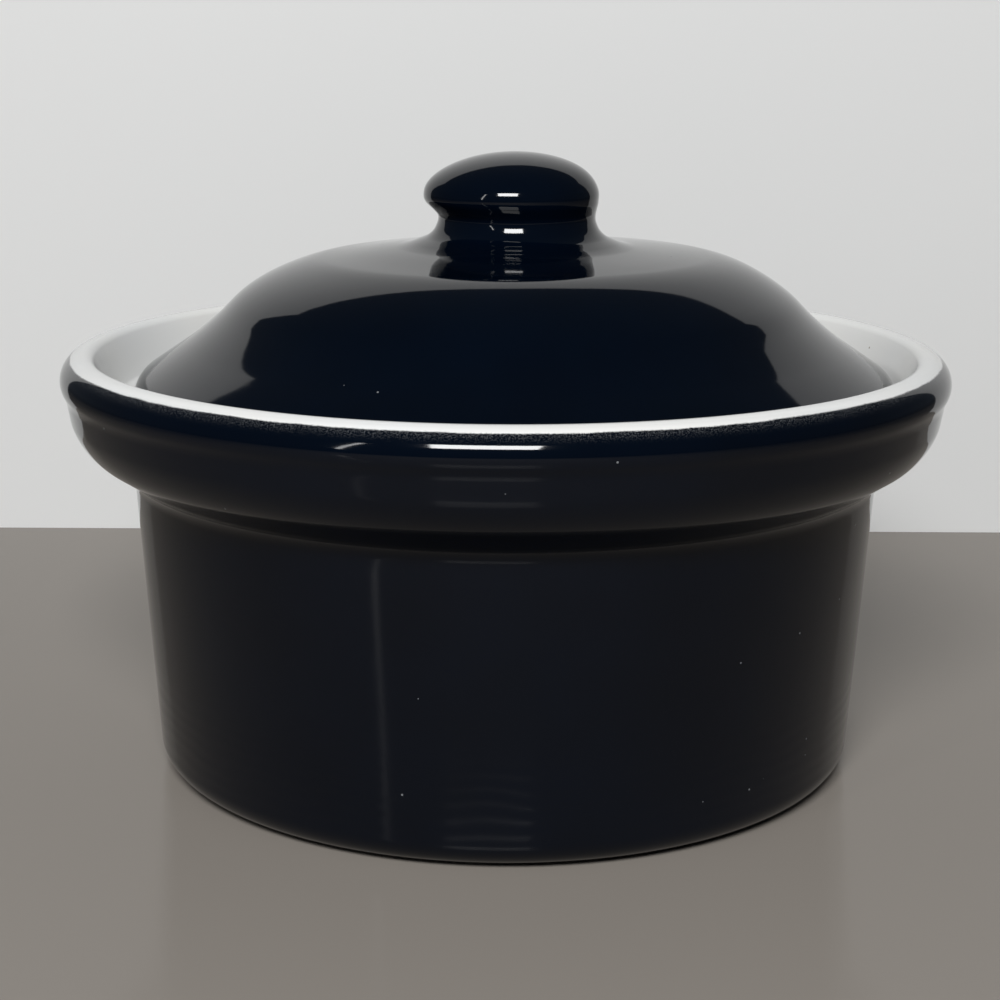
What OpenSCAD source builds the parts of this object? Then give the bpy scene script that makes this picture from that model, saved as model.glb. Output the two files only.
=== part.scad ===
// Small round covered baking dish in glazed stoneware.
// The lid drops into the rim and rests on a ledge inside it.
// Millimetres, +Z up, origin at the centre of the foot on the table.

/* [Dish] */
// Diameter across the lip
rim_d = 140; // [110:1:200]
// Height from the table to the crest of the rim
dish_h = 66.7; // [55:0.1:110]
// Thickness of the side wall
wall = 5; // [3.5:0.1:7]
// Thickness of the floor
floor_t = 5.5; // [4:0.1:9]
// How much the outside of the wall draws in from the collar down to the table
body_draw = 3.15; // [0:0.05:8]
// Rounding of the outer bottom corner
base_corner_r = 4; // [2:0.5:7]
// Rounding inside, where the wall meets the floor
inner_corner_r = 9; // [3:0.5:14]

/* [Foot] */
// How far the foot ring stands in from the end of the bottom corner's rounding
foot_inset = 1.2; // [1:0.1:6]
// Width of the foot ring's resting face
foot_w = 6; // [3:0.5:10]
// Height of the foot ring
foot_h = 0.6; // [0.5:0.1:2]

/* [Collar] */
// How far the lip stands out from the top of the wall
collar_overhang = 10.85; // [9.5:0.05:14]
// Height from the bottom of the collar to the crest of the rim
collar_h = 19.2; // [17:0.1:24]
// Height from the collar's lower corner to the crest of the rim
collar_side_h = 13.2; // [11.5:0.1:15]
// How far the collar's lower corner stands in from the lip
collar_draw = 1.9; // [1.2:0.1:3]
// Rounding of the collar's lower corner
collar_corner_r = 8.5; // [2:0.5:9]
// Hollow rounding where the collar meets the wall
neck_r = 3; // [1:0.5:5]

/* [Rim] */
// Thickness of the rim between its inner face and the lip
rim_w = 5; // [4.9:0.1:7]
// Rounding of the lip from its outermost line to the crest
lip_r = 3.2; // [1.5:0.1:3.2]
// Height of the lip bead
lip_h = 4.7; // [4.5:0.1:5.5]
// Depth of the shallow cove under the lip bead
cove_depth = 0.8; // [0.3:0.1:1.2]
// Height of the cove's sloping face
cove_h = 1.6; // [1:0.1:2.5]
// Rounding from the crest down into the seat
rim_inner_r = 2.3; // [1:0.1:2.3]

/* [Seat] */
// Depth of the ledge below the crest of the rim
seat_depth = 8; // [6:0.1:11]
// How much the recess above the ledge narrows on its way down
seat_draw = 3; // [2:0.1:4]
// Room round the lid's edge in the recess
lid_play = 1.7; // [0.5:0.1:2.5]
// Gap left on the side that the lid lies towards
lid_gap = 0.2; // [0.2:0.1:3.2]

/* [Lid] */
// Thickness of the lid's shell
lid_t = 5; // [3.5:0.1:6]
// Height of the lid's edge
edge_h = 3.2; // [2.7:0.1:5]
// Width of the sloping flange
flange_w = 12.9; // [8:0.1:18]
// Rise of the sloping flange
flange_rise = 9.5; // [6:0.1:12]
// Width of the steeper slope above the flange
slope_w = 8.9; // [6:0.1:12]
// Rise of the steeper slope
slope_rise = 8.5; // [6:0.1:13]
// Rise of the crown from the shoulder to the middle
crown_rise = 4.75; // [2:0.05:8]
// Rounding of the shoulder between slope and crown
shoulder_r = 20; // [8:1:22]
// Hollow rounding between flange and slope
flare_r = 30; // [10:1:50]

/* [Knob] */
// Diameter across the knob's head
knob_d = 27.6; // [24:0.1:34]
// How much narrower the neck is than the head, on each side
undercut = 1.4; // [0.5:0.1:2]
// Height of the neck above the crown
neck_h = 3.6; // [3.6:0.1:8]
// Height over which the neck widens to the head
draw_h = 2.9; // [2:0.1:4]
// Height of the straight band at the head's widest line
head_band = 0.8; // [0.6:0.1:1.5]
// Height of the dome above that band
dome_h = 6.7; // [4:0.1:8]
// Hollow rounding between the neck and the crown
knob_root_r = 3.2; // [1.5:0.1:3.2]

/* [Hidden] */

$fn = 180;
// Segments in each rounded corner and in the knob's dome
arc_steps = 8;
dome_steps = 16;

navy = [0.03, 0.04, 0.08];

// Small roundings that soften the remaining edges
foot_edge_r = 0.25;
ledge_r = 1.5;
seat_corner_r = 1;
lid_edge_r = 1.4;
cove_r = 2;
head_r = 2.2;

// Radii and heights of the dish
rim_r = rim_d / 2;
body_top_r = rim_r - collar_overhang;
body_top_z = dish_h - collar_h;
body_base_r = body_top_r - body_draw * (body_top_z - foot_h) / body_top_z;
foot_outer_r = body_base_r - base_corner_r - foot_inset;
foot_inner_r = foot_outer_r - foot_w;
floor_z = foot_h + floor_t;
seat_z = dish_h - seat_depth;
seat_r = rim_r - rim_w - seat_draw;
inside_top_r = body_top_r - wall;
inside_base_r = inside_top_r - body_draw * (seat_z - floor_z) / body_top_z;

// Radii and heights of the lid, which fits the seat
lid_r = seat_r - lid_play;
lid_shift = lid_play - lid_gap;
edge = [lid_r, seat_z + edge_h];
flare = edge + [-flange_w, flange_rise];
shoulder = flare + [-slope_w, slope_rise];
peak = [0, shoulder.y + crown_rise];
crown_slope = crown_rise / shoulder.x;

// Radii and heights of the knob
knob_r = knob_d / 2;
knob_neck_r = knob_r - undercut;
knob_root_z = peak.y - crown_slope * knob_neck_r;
neck_top_z = knob_root_z + neck_h;
band_z = neck_top_z + draw_h;
dome_z = band_z + head_band;

function unit(v) = v / norm(v);

function flat(corner) = [corner.x, corner.y];

// Points of the arc that rounds one corner [r, z, radius] of an outline
function corner_arc(before, corner, after) =
    let (
        p = flat(corner),
        u = unit(flat(before) - p),
        v = unit(flat(after) - p),
        half = acos(u * v) / 2,
        centre = p + unit(u + v) * corner.z / sin(half),
        start = p + u * corner.z / tan(half) - centre,
        end = p + v * corner.z / tan(half) - centre,
        from = atan2(start.y, start.x),
        sweep = atan2(cross(start, end), start * end)
    )
    [for (k = [0 : arc_steps])
        let (a = from + sweep * k / arc_steps)
        centre + corner.z * [cos(a), sin(a)]];

// Closed outline through corners [r, z, radius]; a radius of 0 leaves the corner sharp
function rounded(corners) =
    let (n = len(corners))
    [for (i = [0 : n - 1])
        each corners[i].z == 0
            ? [flat(corners[i])]
            : corner_arc(corners[(i + n - 1) % n], corners[i], corners[(i + 1) % n])];

// Normal that points into the shell from the line p to q, which runs inwards along its outside
function inward(p, q) =
    let (d = unit(q - p))
    [-d.y, d.x];

// Corner of the shell's inside under the outside corner p
function under(before, p, after, thickness) =
    let (
        a = inward(before, p),
        b = inward(p, after)
    )
    p + thickness * (a + b) / (1 + a * b);

// Where the line p to q, set in by the shell's thickness, crosses a height or reaches the axis
function under_at_height(p, q, thickness, z) =
    let (
        s = p + thickness * inward(p, q),
        d = q - p
    )
    s + d * (z - s.y) / d.y;

function under_at_axis(p, q, thickness) =
    let (
        s = p + thickness * inward(p, q),
        d = q - p
    )
    s - d * s.x / d.x;

function with_radius(p, radius) = [p.x, p.y, radius];

dish_outline = rounded([
    [0, foot_h, 0],
    [foot_inner_r, foot_h, foot_edge_r],
    [foot_inner_r, 0, foot_edge_r],
    [foot_outer_r, 0, foot_edge_r],
    [foot_outer_r, foot_h, foot_edge_r],
    [body_base_r, foot_h, base_corner_r],
    [body_top_r, body_top_z, neck_r],
    [rim_r - collar_draw, dish_h - collar_side_h, collar_corner_r],
    [rim_r - cove_depth, dish_h - lip_h - cove_h, cove_r],
    [rim_r, dish_h - lip_h, cove_r],
    [rim_r, dish_h, lip_r],
    [rim_r - rim_w, dish_h, rim_inner_r],
    [seat_r, seat_z, seat_corner_r],
    [inside_top_r, seat_z, ledge_r],
    [inside_base_r, floor_z, inner_corner_r],
    [0, floor_z, 0]
]);

dome = [for (k = [0 : dome_steps])
    let (a = 90 - 90 * k / dome_steps)
    [knob_r * cos(a), dome_z + dome_h * sin(a), 0]];

lid_outline = rounded(concat(dome, [
    [knob_r, band_z, head_r],
    [knob_neck_r, neck_top_z, head_r],
    [knob_neck_r, knob_root_z, knob_root_r],
    with_radius(shoulder, shoulder_r),
    with_radius(flare, flare_r),
    with_radius(edge, lid_edge_r),
    [lid_r, seat_z, seat_corner_r],
    with_radius(under_at_height(edge, flare, lid_t, seat_z), 0),
    with_radius(under(edge, flare, shoulder, lid_t), flare_r + lid_t),
    with_radius(under(flare, shoulder, peak, lid_t), shoulder_r - lid_t),
    with_radius(under_at_axis(shoulder, peak, lid_t), 0)
]));

module dish() {
    color(navy)
        rotate_extrude()
            polygon(dish_outline);
}

module lid() {
    color(navy)
        translate([lid_shift, 0, 0])
            rotate_extrude()
                polygon(lid_outline);
}

dish();
lid();
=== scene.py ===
# %% [markdown]
# # A covered baking dish in glazed stoneware
# The real object is two pieces of fired clay: a small deep dish, and a lid that drops inside its
# rim and rests on a ledge. Both were turned on a wheel, so each is one outline swung round an
# axis. The lesson follows that: draw half an outline, round its corners, spin it, and add the small
# faults that a hand leaves. Then come the glazes, the table, the light and the camera.
#
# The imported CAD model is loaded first. It says where each piece sits and how large it is.

# %% Load the frame
import math

import bmesh
import bpy
from mathutils import Matrix, Vector, noise


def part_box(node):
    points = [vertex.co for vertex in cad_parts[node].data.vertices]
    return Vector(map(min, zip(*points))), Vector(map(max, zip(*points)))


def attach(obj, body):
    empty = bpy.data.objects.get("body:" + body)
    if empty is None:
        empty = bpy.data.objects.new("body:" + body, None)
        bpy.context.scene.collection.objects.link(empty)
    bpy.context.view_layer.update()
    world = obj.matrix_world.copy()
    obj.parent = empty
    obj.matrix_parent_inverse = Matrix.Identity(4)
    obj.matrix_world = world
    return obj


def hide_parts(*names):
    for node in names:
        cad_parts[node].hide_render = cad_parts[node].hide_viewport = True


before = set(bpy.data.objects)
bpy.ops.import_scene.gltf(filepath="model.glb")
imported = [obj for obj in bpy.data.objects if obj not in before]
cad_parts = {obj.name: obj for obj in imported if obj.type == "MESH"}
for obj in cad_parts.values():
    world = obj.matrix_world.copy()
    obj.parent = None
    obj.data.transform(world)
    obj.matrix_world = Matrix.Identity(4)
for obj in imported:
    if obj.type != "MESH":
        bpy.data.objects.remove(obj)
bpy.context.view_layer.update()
MM = 0.001

# %% [markdown]
# ## Sizes of the dish
# The lip, the crest of the rim and the ledge are read from the frame, so that the new dish sits
# exactly where the CAD one does. The CAD circle is a polygon with many sides, and its smallest half
# width, less a micron for rounding, is the radius that stays inside its box. The rest are plain
# sizes in millimetres, from the photograph and from what such dishes measure. The inside can't be
# seen past the lid: its wall and floor have the usual thickness of stoneware.

# %% Sizes of the dish
dish_low, dish_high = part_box("dish")
lid_low, lid_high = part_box("lid")
ROUNDING_ERROR = 0.001
rim_r = min(-dish_low.x, dish_high.x, -dish_low.y, dish_high.y) / MM - ROUNDING_ERROR
rim_z = dish_high.z / MM
ledge_z = lid_low.z / MM

foot_r = 50.85
foot_w = 6
foot_h = 0.6
base_r = 56.05
marks_z = 20
neck_r = 59.15
neck_z = 47.5
collar_in, collar_h = 1.9, 13.2
cove_in, cove_h = 0.8, 6.3
bead_h = 4.7
lip_round = 3.9
rim_w = 5
recess_in = 8
wall_t = 5
floor_z = 6.1
inside_r = 50.65
print("dish: lip radius %.1f, height %.1f, ledge at %.1f mm" % (rim_r, rim_z, ledge_z))

# %% [markdown]
# ## Half an outline
# Half of a cross-section describes a turned piece fully. It could be a curve with bezier handles,
# but a potter's profile is easier to say as corners: a radius, a height, and how round the corner
# is. Straight edges join the corners, and a vertex bevel with a profile of 0.5 makes each one an
# arc. The arc's radius fixes how far from the corner the bevel must start: the radius over the
# tangent of half the corner's angle. Long arcs get more segments than short ones, because a glossy
# surface shows every flat stretch.

# %% Draw an outline and round its corners
ARC_STEP = 0.35
FEWEST_SEGMENTS = 6


def round_corner(outline, corner, offset, offset_type, arc_length):
    """Replaces one corner of a line by an arc of a length in mm that starts and ends at the offset."""
    bmesh.ops.bevel(
        outline,
        geom=[corner],
        offset=offset,
        offset_type=offset_type,
        segments=max(FEWEST_SEGMENTS, math.ceil(arc_length / ARC_STEP)),
        profile=0.5,
        affect="VERTICES",
        material=-1,
    )


def draw_outline(corners, axis_x=0):
    """An open line through corners (radius, height, rounding) in mm, beside an upright axis."""
    outline = bmesh.new()
    points = [Vector((axis_x + radius * MM, 0, height * MM)) for radius, height, _ in corners]
    verts = [outline.verts.new(point) for point in points]
    for start, end in zip(verts, verts[1:]):
        outline.edges.new((start, end))
    for i in range(1, len(corners) - 1):
        rounding = corners[i][2]
        if rounding:
            angle = (points[i - 1] - points[i]).angle(points[i + 1] - points[i])
            offset = rounding * MM / math.tan(angle / 2)
            round_corner(outline, verts[i], offset, "OFFSET", rounding * (math.pi - angle))
    return outline, verts


# %% [markdown]
# ## Outline of the dish
# It starts in the middle of the underside, goes over the foot ring, up the wall and the collar,
# over the lip, and down past the ledge to the middle of the floor.

# %% Draw the dish's outline
foot_round, base_round, neck_round = 0.25, 4, 3
collar_round, cove_round, bead_round = 8.5, 4, 3
crest_round, recess_round, ledge_round, floor_round = 1.5, 1, 1.5, 9

marks_r = base_r + (neck_r - base_r) * (marks_z - foot_h) / (neck_z - foot_h)
dish_outline, _ = draw_outline([
    (0, foot_h, 0),
    (foot_r - foot_w, foot_h, foot_round),
    (foot_r - foot_w, 0, foot_round),
    (foot_r, 0, foot_round),
    (foot_r, foot_h, foot_round),
    (base_r, foot_h, base_round),
    (marks_r, marks_z, 0),
    (neck_r, neck_z, neck_round),
    (rim_r - collar_in, rim_z - collar_h, collar_round),
    (rim_r - cove_in, rim_z - cove_h, cove_round),
    (rim_r, rim_z - bead_h, bead_round),
    (rim_r, rim_z, lip_round),
    (rim_r - rim_w, rim_z, crest_round),
    (rim_r - recess_in, ledge_z, recess_round),
    (neck_r - wall_t, ledge_z, ledge_round),
    (inside_r, floor_z, floor_round),
    (0, floor_z, 0),
])
print("dish outline:", len(dish_outline.verts), "points")

# %% [markdown]
# ## A ruler along the outline
# Glaze follows the surface: navy from the foot up over the lip, then white down the inside, and
# bare clay where the foot stood on the kiln shelf. Instead of testing heights and radii in the
# material, every point of the outline stores how many millimetres of surface lie between it and the
# start of the line. Spinning copies that number into each ring, and later steps can then say
# where one finish ends and the next begins.
#
# Long edges are cut first. Fine marks on the lower wall need close rings, and plain stretches don't.

# %% Cut long edges and measure along the line
def cut_long_edges(outline, longest, beyond=0, below=math.inf):
    """Cuts edges farther out than beyond and lower than below into pieces of at most longest; in mm."""
    for edge in outline.edges[:]:
        middle = (edge.verts[0].co + edge.verts[1].co) / 2 / MM
        cuts = math.ceil(edge.calc_length() / (longest * MM)) - 1
        if middle.x > beyond and middle.z < below and cuts > 0:
            bmesh.ops.subdivide_edges(outline, edges=[edge], cuts=cuts)


def measure_along(outline, start_z):
    """Stores each point's distance in mm from the end of the line at the height start_z, as along."""
    layer = outline.verts.layers.float.new("along")
    ends = [v for v in outline.verts if len(v.link_edges) == 1]
    vert = min(ends, key=lambda v: abs(v.co.z / MM - start_z))
    edge, distance = None, 0
    while vert:
        vert[layer] = distance
        edge = next((e for e in vert.link_edges if e != edge), None)
        distance += edge.calc_length() / MM if edge else 0
        vert = edge.other_vert(vert) if edge else None


def along_at(outline, radius, height, axis_x=0):
    """The ruler's reading at the point of the line nearest to a radius and a height in mm."""
    place = Vector((axis_x + radius * MM, 0, height * MM))
    nearest = min(outline.verts, key=lambda v: (v.co - place).length)
    return nearest[outline.verts.layers.float["along"]]


cut_long_edges(dish_outline, longest=0.35, beyond=base_r, below=marks_z)
cut_long_edges(dish_outline, longest=2)
measure_along(dish_outline, foot_h)
foot_bare = [along_at(dish_outline, r, foot_h / 2) for r in (foot_r - foot_w, foot_r)]
lip_along = along_at(dish_outline, rim_r, rim_z - lip_round)
print("outside of the dish: %.1f to %.1f mm along its outline" % (foot_bare[1], lip_along))

# %% [markdown]
# ## Spin it
# A full turn of bmesh.ops.spin makes the surface. use_merge joins the last ring to the first, merging
# doubles closes the two poles on the axis, and the normals are recalculated because a spin may
# leave them inward. A screw modifier would also do, but a spun mesh is plain geometry that the next
# step can press into.

# %% Spin an outline into a turned piece
TURN_STEPS = 240
MERGE_DISTANCE = 1e-6


def spin_round(outline, axis_x=0):
    """Turns an outline once round its upright axis into a closed surface with outward normals."""
    bmesh.ops.spin(
        outline,
        geom=outline.verts[:] + outline.edges[:],
        cent=(axis_x, 0, 0),
        axis=(0, 0, 1),
        angle=2 * math.pi,
        steps=TURN_STEPS,
        use_merge=True,
    )
    bmesh.ops.remove_doubles(outline, verts=outline.verts[:], dist=MERGE_DISTANCE)
    bmesh.ops.recalc_face_normals(outline, faces=outline.faces[:])
    return outline


dish_mesh = spin_round(dish_outline)
print("dish:", len(dish_mesh.faces), "faces, closed:", not any(e.is_boundary for e in dish_mesh.edges))

# %% [markdown]
# ## Marks of the wheel
# A perfect spin looks machined. On the real dish faint rings from the turning tool run round the
# lower third of the wall, and the wall is nowhere quite true. Both are pressed into the mesh by
# hundredths of a millimetre, because a glossy glaze shows slopes of less than a degree. They only
# go inwards, so that the dish keeps its size.

# %% Press the marks into the dish
MARKS_FADE = 8
RINGS_START, RINGS_END = (3, 6), (marks_z, 13)
RING_PITCH, RING_DEPTH = 2.3, 0.009
RING_WANDER, RING_WANDER_SIZE = 0.9, 6
RING_UNEVEN, RING_UNEVEN_SIZE = 0.8, 9
DRIFT_SIZE, DRIFT_DEPTH = 24, 0.10


def smooth_step(low, high, value):
    """Rises from 0 to 1 between low and high; falls where low is the larger."""
    share = min(max((value - low) / (high - low), 0), 1)
    return share * share * (3 - 2 * share)


def press_in(bm, axis_x, depth_at):
    """Moves each point towards the axis by depth_at(position from the axis, along), in mm."""
    layer = bm.verts.layers.float["along"]
    for vert in bm.verts:
        from_axis = Vector((vert.co.x - axis_x, vert.co.y, 0))
        if from_axis.length > MM:
            place = Vector((from_axis.x, from_axis.y, vert.co.z)) / MM
            vert.co -= from_axis.normalized() * depth_at(place, vert[layer]) * MM


def dish_marks(place, along):
    """Depth of the turning rings and of the wall's drift, on the outside from the foot to the lip."""
    outside = smooth_step(foot_bare[1], foot_bare[1] + MARKS_FADE, along)
    outside *= smooth_step(lip_along, lip_along - MARKS_FADE, along)
    ringed = smooth_step(*RINGS_START, place.z) * smooth_step(*RINGS_END, place.z)
    uneven = 1 + RING_UNEVEN * noise.noise(place / RING_UNEVEN_SIZE)
    turns = (place.z + RING_WANDER * noise.noise(place / RING_WANDER_SIZE)) / RING_PITCH
    rings = RING_DEPTH * ringed * uneven * (1 + math.sin(2 * math.pi * turns))
    drift = DRIFT_DEPTH * (1 + noise.noise(place / DRIFT_SIZE)) / 2
    return outside * (rings + drift)


press_in(dish_mesh, 0, dish_marks)
print("rings every", RING_PITCH, "mm, drift of at most", DRIFT_DEPTH, "mm")

# %% [markdown]
# ## Hand the mesh to an object
# The bmesh becomes an object at the origin with its place in its vertices, just as the CAD nodes
# are. It rides on a CAD body and stands for a CAD node; its finish is laid on further down.

# %% Make the dish a piece
def make_piece(name, bm, body, node):
    """Turns a bmesh into a smooth-shaded object that stands for a CAD node and moves with its body."""
    mesh = bpy.data.meshes.new(name)
    bm.to_mesh(mesh)
    bm.free()
    mesh.shade_smooth()
    piece = bpy.data.objects.new(name, mesh)
    bpy.context.scene.collection.objects.link(piece)
    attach(piece, body)
    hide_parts(node)
    print(name, "has", len(mesh.polygons), "faces")
    return piece


dish = make_piece("glazed_dish", dish_mesh, "dish", "dish")

# %% [markdown]
# ## Sizes of the lid
# The lid lies a little to one side in its seat, so its axis is taken from its own box, in metres as
# the frame gives it. Knob, crown and flange are one piece of clay. The flange is hollow where it
# leaves the slope and rolls over at its edge. Underneath, the lid follows its top at a shell's
# thickness, and a narrow ring rests on the ledge.

# %% Sizes of the lid
lid_x = (lid_low.x + lid_high.x) / 2
lid_r = (lid_high.x - lid_low.x) / 2 / MM
lid_top_z = lid_high.z / MM

edge_z = ledge_z + 3.4
flare_r, flare_z = lid_r - 11.3, edge_z + 7.6
shoulder_r, shoulder_z = lid_r - 21.4, edge_z + 18
crown_z = edge_z + 22.45
knob_r = 13.8
knob_neck_r = 12.4
dome_z = lid_top_z - 6.7
head_z = lid_top_z - 7.5
neck_top_z = lid_top_z - 9.7
root_flare_r = 17.7
root_flare_z = crown_z + (shoulder_z - crown_z) * root_flare_r / shoulder_r
root_z = root_flare_z + 2.1
seat_w = 4.1
under_flare_r, under_flare_z = lid_r - 16.1, ledge_z + 8.9
under_shoulder_r, under_shoulder_z = lid_r - 24.1, ledge_z + 16.4
under_peak_z = ledge_z + 20.9
print("lid: axis at x %.2f, radius %.2f, top %.2f mm" % (lid_x / MM, lid_r, lid_top_z))

# %% [markdown]
# ## Outline of the lid
# The same steps make the lid. Only the knob's dome is new: it is a quarter of an ellipse, and a
# bevel of one hundred percent makes just that, because it uses up both edges of the corner. The
# points that it leaves doubled at their far ends are merged.

# %% Draw and spin the lid
head_round, knob_neck_round, root_round, root_flare_round = 2.4, 1.2, 3.5, 11
shoulder_round, flare_round, edge_round, seat_round = 24, 40, 4.3, 1
under_flare_round, under_shoulder_round = 35, 15

lid_outline, lid_corners = draw_outline([
    (0, lid_top_z, 0),
    (knob_r, lid_top_z, 0),
    (knob_r, dome_z, 0),
    (knob_r, head_z, head_round),
    (knob_neck_r, neck_top_z, knob_neck_round),
    (knob_neck_r, root_z, root_round),
    (root_flare_r, root_flare_z, root_flare_round),
    (shoulder_r, shoulder_z, shoulder_round),
    (flare_r, flare_z, flare_round),
    (lid_r, edge_z, edge_round),
    (lid_r, ledge_z, seat_round),
    (lid_r - seat_w, ledge_z, 0),
    (under_flare_r, under_flare_z, under_flare_round),
    (under_shoulder_r, under_shoulder_z, under_shoulder_round),
    (0, under_peak_z, 0),
], lid_x)
round_corner(lid_outline, lid_corners[1], 100, "PERCENT", knob_r + lid_top_z - dome_z)
bmesh.ops.remove_doubles(lid_outline, verts=lid_outline.verts[:], dist=MERGE_DISTANCE)

cut_long_edges(lid_outline, longest=1.2)
measure_along(lid_outline, lid_top_z)
edge_along = along_at(lid_outline, lid_r, ledge_z + seat_round, lid_x)
seat_bare = [along_at(lid_outline, r, ledge_z, lid_x) for r in (lid_r - seat_round, lid_r - seat_w)]
lid_mesh = spin_round(lid_outline, lid_x)
print("lid:", len(lid_mesh.faces), "faces, closed:", not any(e.is_boundary for e in lid_mesh.edges))

# %% [markdown]
# ## The potter's knob
# The knob was thrown by eye. Its head leans a little to the left and forward of its neck, so that
# the groove under it is deep on one side and shallow on the other, and faint rings are left where
# the neck runs into the crown. The shift grows and fades with height, as in proportional editing,
# so that nothing is torn. The crown isn't quite level either: it is lower on the left than on the
# right. The rest of the top wavers slightly, as the dish does.

# %% Lean the knob and press in the marks
LEAN = Vector((1, 0.25, 0))
NECK_SHIFT, HEAD_SHIFT, TOP_SHIFT = 0.15, -0.75, -0.1
HEAD_MARGIN, TOP_MARGIN = 0.5, 2
ROOT_PITCH, ROOT_PHASE, ROOT_DEPTH = 1.7, 1.7, 0.017
CROWN_TILT = 0.007
TILT_START, TILT_END = (root_flare_r, root_flare_r + 10), (shoulder_r + 4, shoulder_r - 5)
WAVE_SIZE, WAVE_DEPTH = 16, 0.045
WAVE_END = (edge_along - 2, edge_along - 9)


def lean_knob(bm):
    """Shifts the rings of the neck one way along the lean and those of the head the other way."""
    for vert in bm.verts:
        radius = math.hypot(vert.co.x - lid_x, vert.co.y) / MM
        height = vert.co.z / MM
        at_head = smooth_step(neck_top_z - HEAD_MARGIN, head_z + HEAD_MARGIN, height)
        at_top = smooth_step(head_z + TOP_MARGIN, lid_top_z, height)
        shift = NECK_SHIFT + (HEAD_SHIFT - NECK_SHIFT) * at_head + (TOP_SHIFT - HEAD_SHIFT) * at_top
        on_knob = smooth_step(root_flare_r, knob_r, radius) * smooth_step(root_flare_z, root_z, height)
        vert.co += LEAN * shift * on_knob * MM


def tilt_crown(bm):
    """Lowers the left of the crown and raises the right; the knob and the flange stay level."""
    for vert in bm.verts:
        sideways = vert.co.x - lid_x
        radius = math.hypot(sideways, vert.co.y) / MM
        on_crown = smooth_step(*TILT_START, radius) * smooth_step(*TILT_END, radius)
        vert.co.z += CROWN_TILT * sideways * on_crown


def lid_marks(place, along):
    """Depth of the rings at the knob's root and of the top's wavering, which ends before the edge."""
    on_top = smooth_step(*WAVE_END, along)
    on_root = smooth_step(root_flare_z, root_z, place.z) * smooth_step(head_z, neck_top_z, place.z)
    rings = ROOT_DEPTH * on_root * math.sin(2 * math.pi * place.z / ROOT_PITCH + ROOT_PHASE)
    return rings + WAVE_DEPTH * on_top * noise.noise(place / WAVE_SIZE)


lean_knob(lid_mesh)
tilt_crown(lid_mesh)
press_in(lid_mesh, lid_x, lid_marks)
lid = make_piece("glazed_lid", lid_mesh, "lid", "lid")

# %% [markdown]
# ## Building materials from nodes
# Each finish is a small tree of nodes. One helper adds a node and sets or links its inputs, one
# mixes two values by a mask, and one turns the ruler into a mask that switches at a place. All
# patterns read Object coordinates, in metres, so a Noise scale of 1000 has features about a
# millimetre across.

# %% Node helpers
def add(tree, kind, inputs=None, **settings):
    """Adds a shader node; an input is given a value or linked from a socket."""
    node = tree.nodes.new("ShaderNode" + kind)
    for name, value in settings.items():
        setattr(node, name, value)
    for name, value in (inputs or {}).items():
        if isinstance(value, bpy.types.NodeSocket):
            tree.links.new(value, node.inputs[name])
        else:
            node.inputs[name].default_value = value
    return node


def calculate(tree, operation, first, second):
    """The result of one Math node."""
    return add(tree, "Math", {0: first, 1: second}, operation=operation).outputs[0]


def mix_colours(tree, mask, first, second):
    """The first colour where the mask is 0, the second where it is 1."""
    return add(tree, "Mix", {0: mask, 6: first, 7: second}, data_type="RGBA").outputs[2]


def mix_numbers(tree, mask, first, second):
    """The first number where the mask is 0, the second where it is 1."""
    return add(tree, "Mix", {0: mask, 2: first, 3: second}, data_type="FLOAT").outputs[0]


def rise(tree, value, low, high):
    """0 below low and 1 above high, with a smooth change between them."""
    inputs = {"Value": value, "From Min": low, "From Max": high}
    return add(tree, "MapRange", inputs, interpolation_type="SMOOTHSTEP").outputs[0]


def noise_of(tree, where, scale, detail=2.0):
    """A Noise texture's value, about 0.5 on average."""
    return add(tree, "TexNoise", {"Vector": where, "Scale": scale, "Detail": detail}).outputs[0]


def flecks(tree, where, scale, size, share):
    """A mask of small round specks in a share of the cells of a Voronoi texture."""
    cells = add(tree, "TexVoronoi", {"Vector": where, "Scale": scale})
    pick = add(tree, "SeparateColor", {0: cells.outputs["Color"]}).outputs[0]
    reach = calculate(tree, "MULTIPLY", calculate(tree, "LESS_THAN", pick, share), size)
    return calculate(tree, "LESS_THAN", cells.outputs["Distance"], reach)


# %% [markdown]
# ## Navy glaze
# The outside is a thick glossy glaze, so dark that it is black in shade and navy where light
# reaches in. Its colour drifts where the coat is thicker or thinner, and here and there a pale fleck
# lies in it. A Voronoi texture scatters the flecks: only a few of its cells get one. A faint ripple
# about two millimetres long, as bump, gives reflections the wavering edge that they have in fired
# glaze.

# %% The navy glaze
NAVY_DEEP = (0.0003, 0.0013, 0.0037, 1)
NAVY_THIN = (0.0006, 0.0026, 0.0074, 1)
FLECK = (0.18, 0.19, 0.20, 1)
NAVY_ROUGH, FLECK_ROUGH = (0.04, 0.075), 0.4
RIPPLE_SCALE = 420


def navy_glaze(tree, where):
    """Colour, roughness and height of the navy glaze."""
    coat = noise_of(tree, where, scale=55)
    fleck = flecks(tree, where, scale=420, size=0.065, share=0.09)
    colour = mix_colours(tree, fleck, mix_colours(tree, coat, NAVY_DEEP, NAVY_THIN), FLECK)
    roughness = mix_numbers(tree, fleck, mix_numbers(tree, coat, *NAVY_ROUGH), FLECK_ROUGH)
    return colour, roughness, noise_of(tree, where, RIPPLE_SCALE, detail=1.0)


# %% [markdown]
# ## White glaze
# Inside and over the rim the glaze is white and just as glossy. A slow drift between a warmer and a
# cooler white, and a few dark pinholes, keep it from looking like plastic.

# %% The white glaze
WHITE_COOL = (0.78, 0.795, 0.80, 1)
WHITE_WARM = (0.82, 0.81, 0.775, 1)
PINHOLE = (0.30, 0.26, 0.21, 1)
WHITE_ROUGH = (0.08, 0.14)


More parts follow.
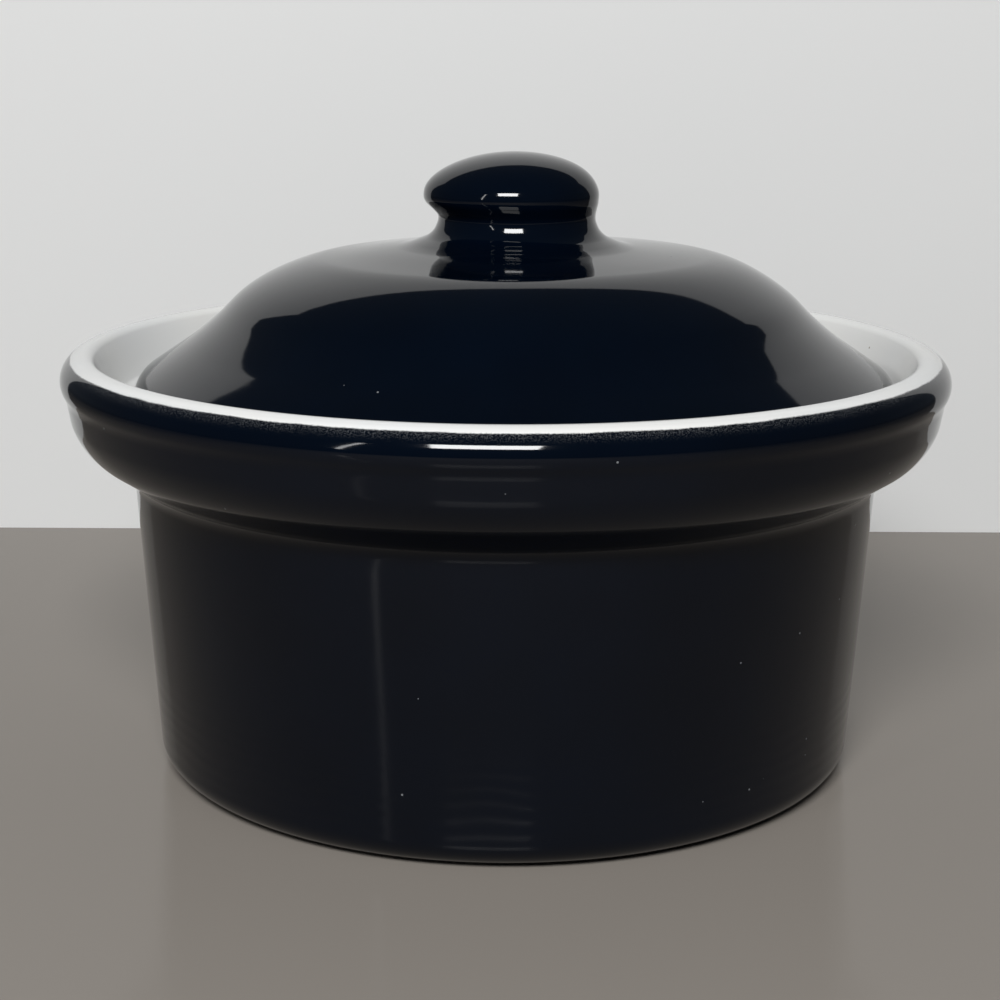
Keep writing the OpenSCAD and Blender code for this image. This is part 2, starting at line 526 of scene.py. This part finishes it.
def white_glaze(tree, where):
    """Colour, roughness and height of the white glaze."""
    drift = noise_of(tree, where, scale=40)
    hole = flecks(tree, where, scale=230, size=0.05, share=0.10)
    colour = mix_colours(tree, hole, mix_colours(tree, drift, WHITE_COOL, WHITE_WARM), PINHOLE)
    roughness = mix_numbers(tree, drift, *WHITE_ROUGH)
    return colour, roughness, noise_of(tree, where, RIPPLE_SCALE, detail=1.0)


# %% [markdown]
# ## Bare clay
# Glaze would weld a pot to the kiln shelf, so the foot ring and the ring under the lid are wiped
# clean. The clay there is a rough buff stoneware with darker grains in it.

# %% The bare clay
CLAY = (0.50, 0.39, 0.28, 1)
CLAY_DARK = (0.30, 0.22, 0.15, 1)
CLAY_ROUGH = (0.75, 0.95)


def bare_clay(tree, where):
    """Colour, roughness and height of the unglazed clay."""
    grain = noise_of(tree, where, scale=1500, detail=4.0)
    grog = flecks(tree, where, scale=700, size=0.3, share=0.4)
    colour = mix_colours(tree, grog, mix_colours(tree, grain, CLAY, CLAY_DARK), CLAY_DARK)
    return colour, mix_numbers(tree, grain, *CLAY_ROUGH), grain


# %% [markdown]
# ## Where one finish meets the next
# The navy was sprayed, so it has no hard end: its line wanders a little and is softened by droplets,
# and white dust from the rim lies on the first millimetres of the navy. Adding noise to the
# ruler's reading before the switch gives the first, and fine noise that fades with distance gives
# the second. The clay was wiped with a sponge, which leaves a soft wandering edge too.

# %% Masks along the ruler
WANDER, WANDER_SCALE = 0.5, 130
DROPLETS, DROPLETS_SCALE = 0.5, 6500
DUST_REACH, DUST_SCALE, DUST_SPECK = 2.3, 5600, (0.46, 0.66)
SPRAY_EDGE, SPONGE_EDGE = 0.14, 0.1


def white_mask(tree, where, ruler, line):
    """1 where the white glaze is."""
    wander = calculate(tree, "MULTIPLY", noise_of(tree, where, WANDER_SCALE), WANDER)
    droplets = calculate(tree, "MULTIPLY", noise_of(tree, where, DROPLETS_SCALE, detail=1.0), DROPLETS)
    reading = calculate(tree, "ADD", ruler, calculate(tree, "ADD", wander, droplets))
    middle = line + (WANDER + DROPLETS) / 2
    return rise(tree, reading, middle - SPRAY_EDGE, middle + SPRAY_EDGE)


def dust_mask(tree, where, ruler, line):
    """Specks of white dust on the navy, fading away from the line."""
    near = rise(tree, ruler, line - DUST_REACH, line)
    speck = rise(tree, noise_of(tree, where, DUST_SCALE, detail=1.0), *DUST_SPECK)
    return calculate(tree, "MULTIPLY", calculate(tree, "MULTIPLY", near, near), speck)


def bare_mask(tree, where, ruler, start, end):
    """1 where the clay is bare, between two readings."""
    wander = calculate(tree, "MULTIPLY", noise_of(tree, where, WANDER_SCALE), WANDER)
    reading = calculate(tree, "SUBTRACT", calculate(tree, "ADD", ruler, wander), WANDER / 2)
    begun = rise(tree, reading, start - SPONGE_EDGE, start + SPONGE_EDGE)
    ended = rise(tree, reading, end - SPONGE_EDGE, end + SPONGE_EDGE)
    return calculate(tree, "SUBTRACT", begun, ended)


# %% [markdown]
# ## Laying the finishes on
# One material covers a whole piece, and the masks decide which finish shows. Colour, roughness and
# the bump's height are mixed by the same masks, so that the finishes change together. On the dish
# the navy ends a little past halfway up the lip's rounding, and on the lid at the seat ring. The
# dust is thin and lets the navy through, so its colour is a dark grey. Real glaze has an index of
# refraction near 1.5. A little less keeps the front as deep as the photograph has it.

# %% Lay the finishes on both pieces
DUST = (0.075, 0.079, 0.083, 1)
BUMP_STRENGTH, BUMP_DEPTH = 0.25, 0.000012
GLAZE_IOR = 1.38


def lay_finishes(name, line, bare, axis_x=0):
    """A material: navy up to the line, white after it, and bare clay between two readings."""
    material = bpy.data.materials.new(name)
    material.use_nodes = True
    tree = material.node_tree
    place = add(tree, "TexCoord").outputs["Object"]
    where = add(tree, "Mapping", {"Vector": place, "Location": (-axis_x, 0, 0)}).outputs[0]
    ruler = add(tree, "Attribute", attribute_name="along").outputs["Fac"]
    white = white_mask(tree, where, ruler, line)
    clay = bare_mask(tree, where, ruler, *bare)

    navy_colour, navy_rough, navy_bump = navy_glaze(tree, where)
    white_colour, white_rough, white_bump = white_glaze(tree, where)
    clay_colour, clay_rough, clay_bump = bare_clay(tree, where)
    dusted = mix_colours(tree, dust_mask(tree, where, ruler, line), navy_colour, DUST)
    colour = mix_colours(tree, clay, mix_colours(tree, white, dusted, white_colour), clay_colour)
    rough = mix_numbers(tree, clay, mix_numbers(tree, white, navy_rough, white_rough), clay_rough)
    height = mix_numbers(tree, clay, mix_numbers(tree, white, navy_bump, white_bump), clay_bump)

    shader = tree.nodes["Principled BSDF"]
    bump = add(tree, "Bump", {"Height": height, "Strength": BUMP_STRENGTH, "Distance": BUMP_DEPTH})
    tree.links.new(colour, shader.inputs["Base Color"])
    tree.links.new(rough, shader.inputs["Roughness"])
    tree.links.new(bump.outputs[0], shader.inputs["Normal"])
    shader.inputs["IOR"].default_value = GLAZE_IOR
    return material


lip_turn = math.radians(55)
dish_line = lip_along + lip_round * lip_turn
dish.data.materials.append(lay_finishes("dish_finish", dish_line, foot_bare))
lid.data.materials.append(lay_finishes("lid_finish", seat_bare[0], seat_bare, lid_x))
print("navy ends %.1f mm along the dish, %.1f mm along the lid" % (dish_line, seat_bare[0]))

# %% [markdown]
# ## Table and backdrop
# The table is a plain sheet with a satin surface. Its faint sheen holds the images of the lamps, and
# the dark glaze mirrors them as soft bars on the collar and low on the wall. Behind the dish stands
# a pale card. Its mirror image is the bright band on the crown and along both sides of the lid, and
# where the card ends the reflection turns dark. Seen from behind, the card lets the view through.

# %% Table and backdrop
TABLE_COLOUR = (0.28, 0.254, 0.226, 1)
CARD_COLOUR = (0.80, 0.805, 0.80, 1)
TABLE_HALF = 4.0
CARD_Y = 0.143
CARD_LEFT, CARD_RIGHT, CARD_TOP = -0.187, 0.23, 0.255


def make_sheet(name, corners, material):
    """A flat sheet for the stage; it faces the side from which its corners run anticlockwise."""
    bm = bmesh.new()
    bm.faces.new([bm.verts.new(corner) for corner in corners])
    mesh = bpy.data.meshes.new(name)
    bm.to_mesh(mesh)
    bm.free()
    mesh.materials.append(material)
    sheet = bpy.data.objects.new(name, mesh)
    bpy.context.scene.collection.objects.link(sheet)
    return sheet


def plain_paint(name, colour, roughness, gloss):
    """A plain paint for the stage."""
    material = bpy.data.materials.new(name)
    material.use_nodes = True
    shader = material.node_tree.nodes["Principled BSDF"]
    shader.inputs["Base Color"].default_value = colour
    shader.inputs["Roughness"].default_value = roughness
    shader.inputs["Specular IOR Level"].default_value = gloss
    return material


table_paint = plain_paint("table_paint", TABLE_COLOUR, roughness=0.14, gloss=0.06)
make_sheet("table", [
    (-TABLE_HALF, -TABLE_HALF, 0),
    (TABLE_HALF, -TABLE_HALF, 0),
    (TABLE_HALF, TABLE_HALF, 0),
    (-TABLE_HALF, TABLE_HALF, 0),
], table_paint)

card_paint = plain_paint("card_paint", CARD_COLOUR, roughness=0.9, gloss=0.2)
card_tree = card_paint.node_tree
see_through = add(card_tree, "MixShader", {
    0: add(card_tree, "NewGeometry").outputs["Backfacing"],
    1: card_tree.nodes["Principled BSDF"].outputs[0],
    2: add(card_tree, "BsdfTransparent").outputs[0],
})
card_tree.links.new(see_through.outputs[0], card_tree.nodes["Material Output"].inputs["Surface"])
card = make_sheet("card", [
    (CARD_LEFT, CARD_Y, 0),
    (CARD_RIGHT, CARD_Y, 0),
    (CARD_RIGHT, CARD_Y, CARD_TOP),
    (CARD_LEFT, CARD_Y, CARD_TOP),
], card_paint)
print("card faces", [round(x) for x in card.data.polygons[0].normal])

# %% [markdown]
# ## Light
# One softbox stands in front, a little to the left and a third of the way up the sky. Its small
# bright image on the knob and along the lip is what says gloss, and the same light whitens the card
# and the rim. A narrow strip of light farther to the left adds a thin glint beside each of those
# images, as the edge of a window does. The room around is dim, which keeps the front of the glaze
# deep.

# %% Softbox, strip and room
LAMP_DISTANCE = 0.85
ROOM_COLOUR = (0.050, 0.056, 0.064, 1)


def place_lamp(name, azimuth, height, wide, tall, power, turn=0):
    """A flat lamp that faces the rim from a direction in degrees, turned in its own plane."""
    azimuth, height = math.radians(azimuth), math.radians(height)
    towards = Vector((
        math.sin(azimuth) * math.cos(height),
        math.cos(azimuth) * math.cos(height),
        math.sin(height),
    ))
    light = bpy.data.lights.new(name, "AREA")
    light.shape = "RECTANGLE"
    light.size, light.size_y = wide, tall
    light.energy = power
    lamp = bpy.data.objects.new(name, light)
    facing = towards.to_track_quat("Z", "Y").to_matrix() @ Matrix.Rotation(math.radians(turn), 3, "Z")
    lamp.location = Vector((0, 0, rim_z * MM)) + towards * LAMP_DISTANCE
    lamp.rotation_euler = facing.to_euler()
    bpy.context.scene.collection.objects.link(lamp)
    print(name, "at", [round(x, 2) for x in lamp.location])


place_lamp("softbox", azimuth=-175, height=34, wide=0.35, tall=0.20, power=7.9)
place_lamp("strip", azimuth=-142.5, height=19, wide=0.022, tall=0.38, power=0.32, turn=-5)

room = bpy.data.worlds.new("room")
room.use_nodes = True
room.node_tree.nodes["Background"].inputs["Color"].default_value = ROOM_COLOUR
bpy.context.scene.world = room

# %% [markdown]
# ## Camera
# The camera stands where the photograph was taken from: a third of a metre in front, a little above
# the knob, looking down thirteen degrees. Place, lens and tilt were found by fitting the outlines
# of the rim and the foot.

# %% Camera
FRAME_PX, FOCAL_PX = 1000, 2066
EYE = Vector((0, -0.3270, 0.1185))
TILT, YAW, ROLL = (math.radians(x) for x in (13.32, 0.14, 0.25))

camera = bpy.data.cameras.new("camera")
camera.sensor_width = 36
camera.lens = camera.sensor_width * FOCAL_PX / FRAME_PX
camera.clip_start = 0.01
viewpoint = bpy.data.objects.new("camera", camera)
viewpoint.matrix_world = (
    Matrix.Translation(EYE)
    @ Matrix.Rotation(YAW, 4, "Z")
    @ Matrix.Rotation(math.pi / 2 - TILT, 4, "X")
    @ Matrix.Rotation(ROLL, 4, "Z")
)
bpy.context.scene.collection.objects.link(viewpoint)
bpy.context.scene.camera = viewpoint
bpy.context.scene.view_settings.view_transform = "Standard"
print("lens %.1f mm" % camera.lens)
